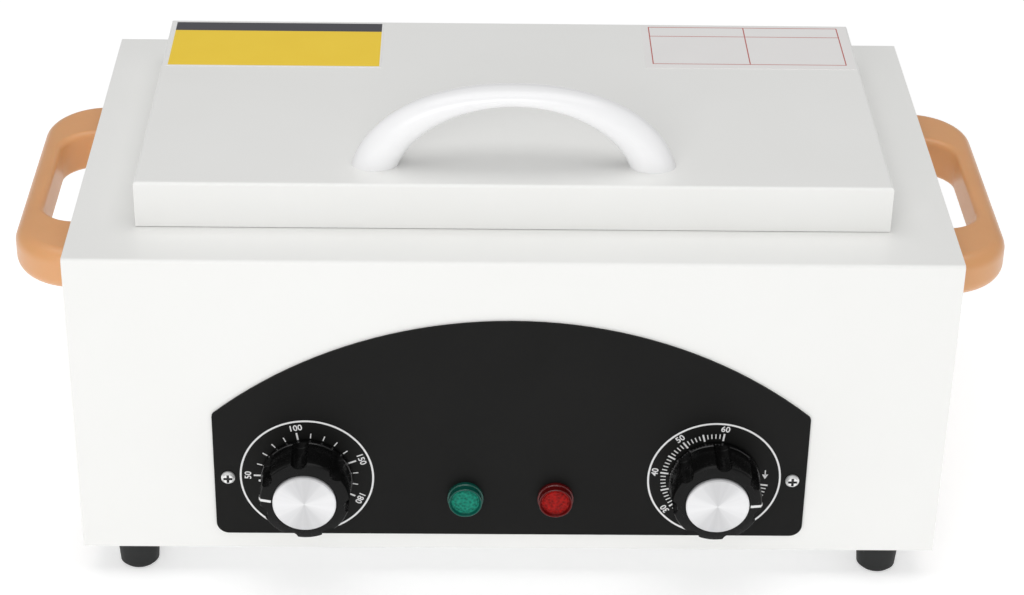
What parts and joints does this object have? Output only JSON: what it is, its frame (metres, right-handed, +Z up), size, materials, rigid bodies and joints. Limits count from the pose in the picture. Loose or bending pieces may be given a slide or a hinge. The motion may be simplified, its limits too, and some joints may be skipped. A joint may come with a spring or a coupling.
{
  "type": "dry heat sterilizer",
  "caption": "Bench dry heat sterilizer: white sheet-metal case with a hinged handled lid over a steel chamber, side grips, and a front panel with a thermostat knob, a timer knob and two lamps.",
  "frame": {"origin": "middle of the bounding box's bottom, on the surface that the feet stand on", "axes": "+X to the right as seen from the front, +Y to the back, +Z up; the control panel faces -Y"},
  "size_m": [0.4242, 0.236, 0.2127],
  "materials": {
    "white_sheet": "white powder coat, satin",
    "steel_zinc": "zinc plated",
    "stainless": "brushed stainless",
    "black_panel": "black printed plate, satin",
    "black_plastic": "moulded, glossy",
    "dark_plastic": "moulded, matt",
    "spun_aluminium": "spun face",
    "green_lens": "translucent, prismatic",
    "red_lens": "translucent, prismatic",
    "foot_rubber": "moulded",
    "tan_plastic": "moulded, satin",
    "white_plastic": "moulded, glossy",
    "wool": "mineral wool",
    "copper": "bare tube",
    "brass": "bright",
    "yellow_sticker": "printed film",
    "white_sticker": "printed film",
    "ceramic": "glazed ceramic",
    "wire_sheath": "silicone sheath"
  },
  "bodies": {
    "case": {"outer_case": "white_sheet", "base_plate": "steel_zinc", "base_screws": "steel_zinc", "foot_front_left": "foot_rubber", "foot_front_right": "foot_rubber", "foot_rear_left": "foot_rubber", "foot_rear_right": "foot_rubber", "foot_screws": "steel_zinc", "foot_nuts": "steel_zinc", "control_panel": "black_panel", "panel_screws": "steel_zinc", "green_lamp_lens": "green_lens", "green_lamp_body": "dark_plastic", "red_lamp_lens": "red_lens", "red_lamp_body": "dark_plastic", "lamp_nuts": "dark_plastic", "thermostat_body": "ceramic", "timer_body": "steel_zinc", "timer_bell": "steel_zinc", "bushing_nuts": "steel_zinc", "chamber_tank": "stainless", "heating_element": "stainless", "element_clamps": "steel_zinc", "element_terminals": "ceramic", "tank_insulation": "wool", "heat_shield": "steel_zinc", "sensor_bulb": "copper", "capillary_tube": "copper", "bulb_clips": "steel_zinc", "instrument_tray": "stainless", "case_hinge_leaf_left": "stainless", "hinge_pin_left": "stainless", "case_hinge_leaf_right": "stainless", "hinge_pin_right": "stainless", "case_hinge_rivets": "stainless", "side_handle_left": "tan_plastic", "side_handle_right": "tan_plastic", "side_handle_screws": "steel_zinc", "power_inlet": "dark_plastic", "inlet_pins": "brass", "inlet_screws": "steel_zinc", "terminal_block": "white_plastic", "internal_wires": "wire_sheath"},
    "lid": {"lid_cover": "white_sheet", "lid_liner": "stainless", "lid_insulation": "wool", "lid_label_left": "yellow_sticker", "lid_label_right": "white_sticker", "lid_handle": "white_plastic", "lid_handle_screws": "steel_zinc", "lid_hinge_leaf_left": "stainless", "lid_hinge_leaf_right": "stainless", "lid_hinge_rivets": "stainless"},
    "temperature_dial": {"temperature_knob": "black_plastic", "temperature_knob_cap": "spun_aluminium", "thermostat_shaft": "steel_zinc"},
    "timer_dial": {"timer_knob": "black_plastic", "timer_knob_cap": "spun_aluminium", "timer_shaft": "steel_zinc"}
  },
  "joints": [
    {"name": "lid_hinge", "type": "hinge", "parent": "case", "child": "lid", "pos_m": [0, 0.0945, 0.1585], "axis": [-1, 0, 0], "range_deg": [0, 95]},
    {"name": "temperature_turn", "type": "hinge", "parent": "case", "child": "temperature_dial", "pos_m": [-0.086, -0.107, 0.0522], "axis": [0, 1, 0], "range_deg": [0, 203]},
    {"name": "timer_turn", "type": "hinge", "parent": "case", "child": "timer_dial", "pos_m": [0.086, -0.107, 0.0522], "axis": [0, 1, 0], "range_deg": [0, 275]}
  ]
}
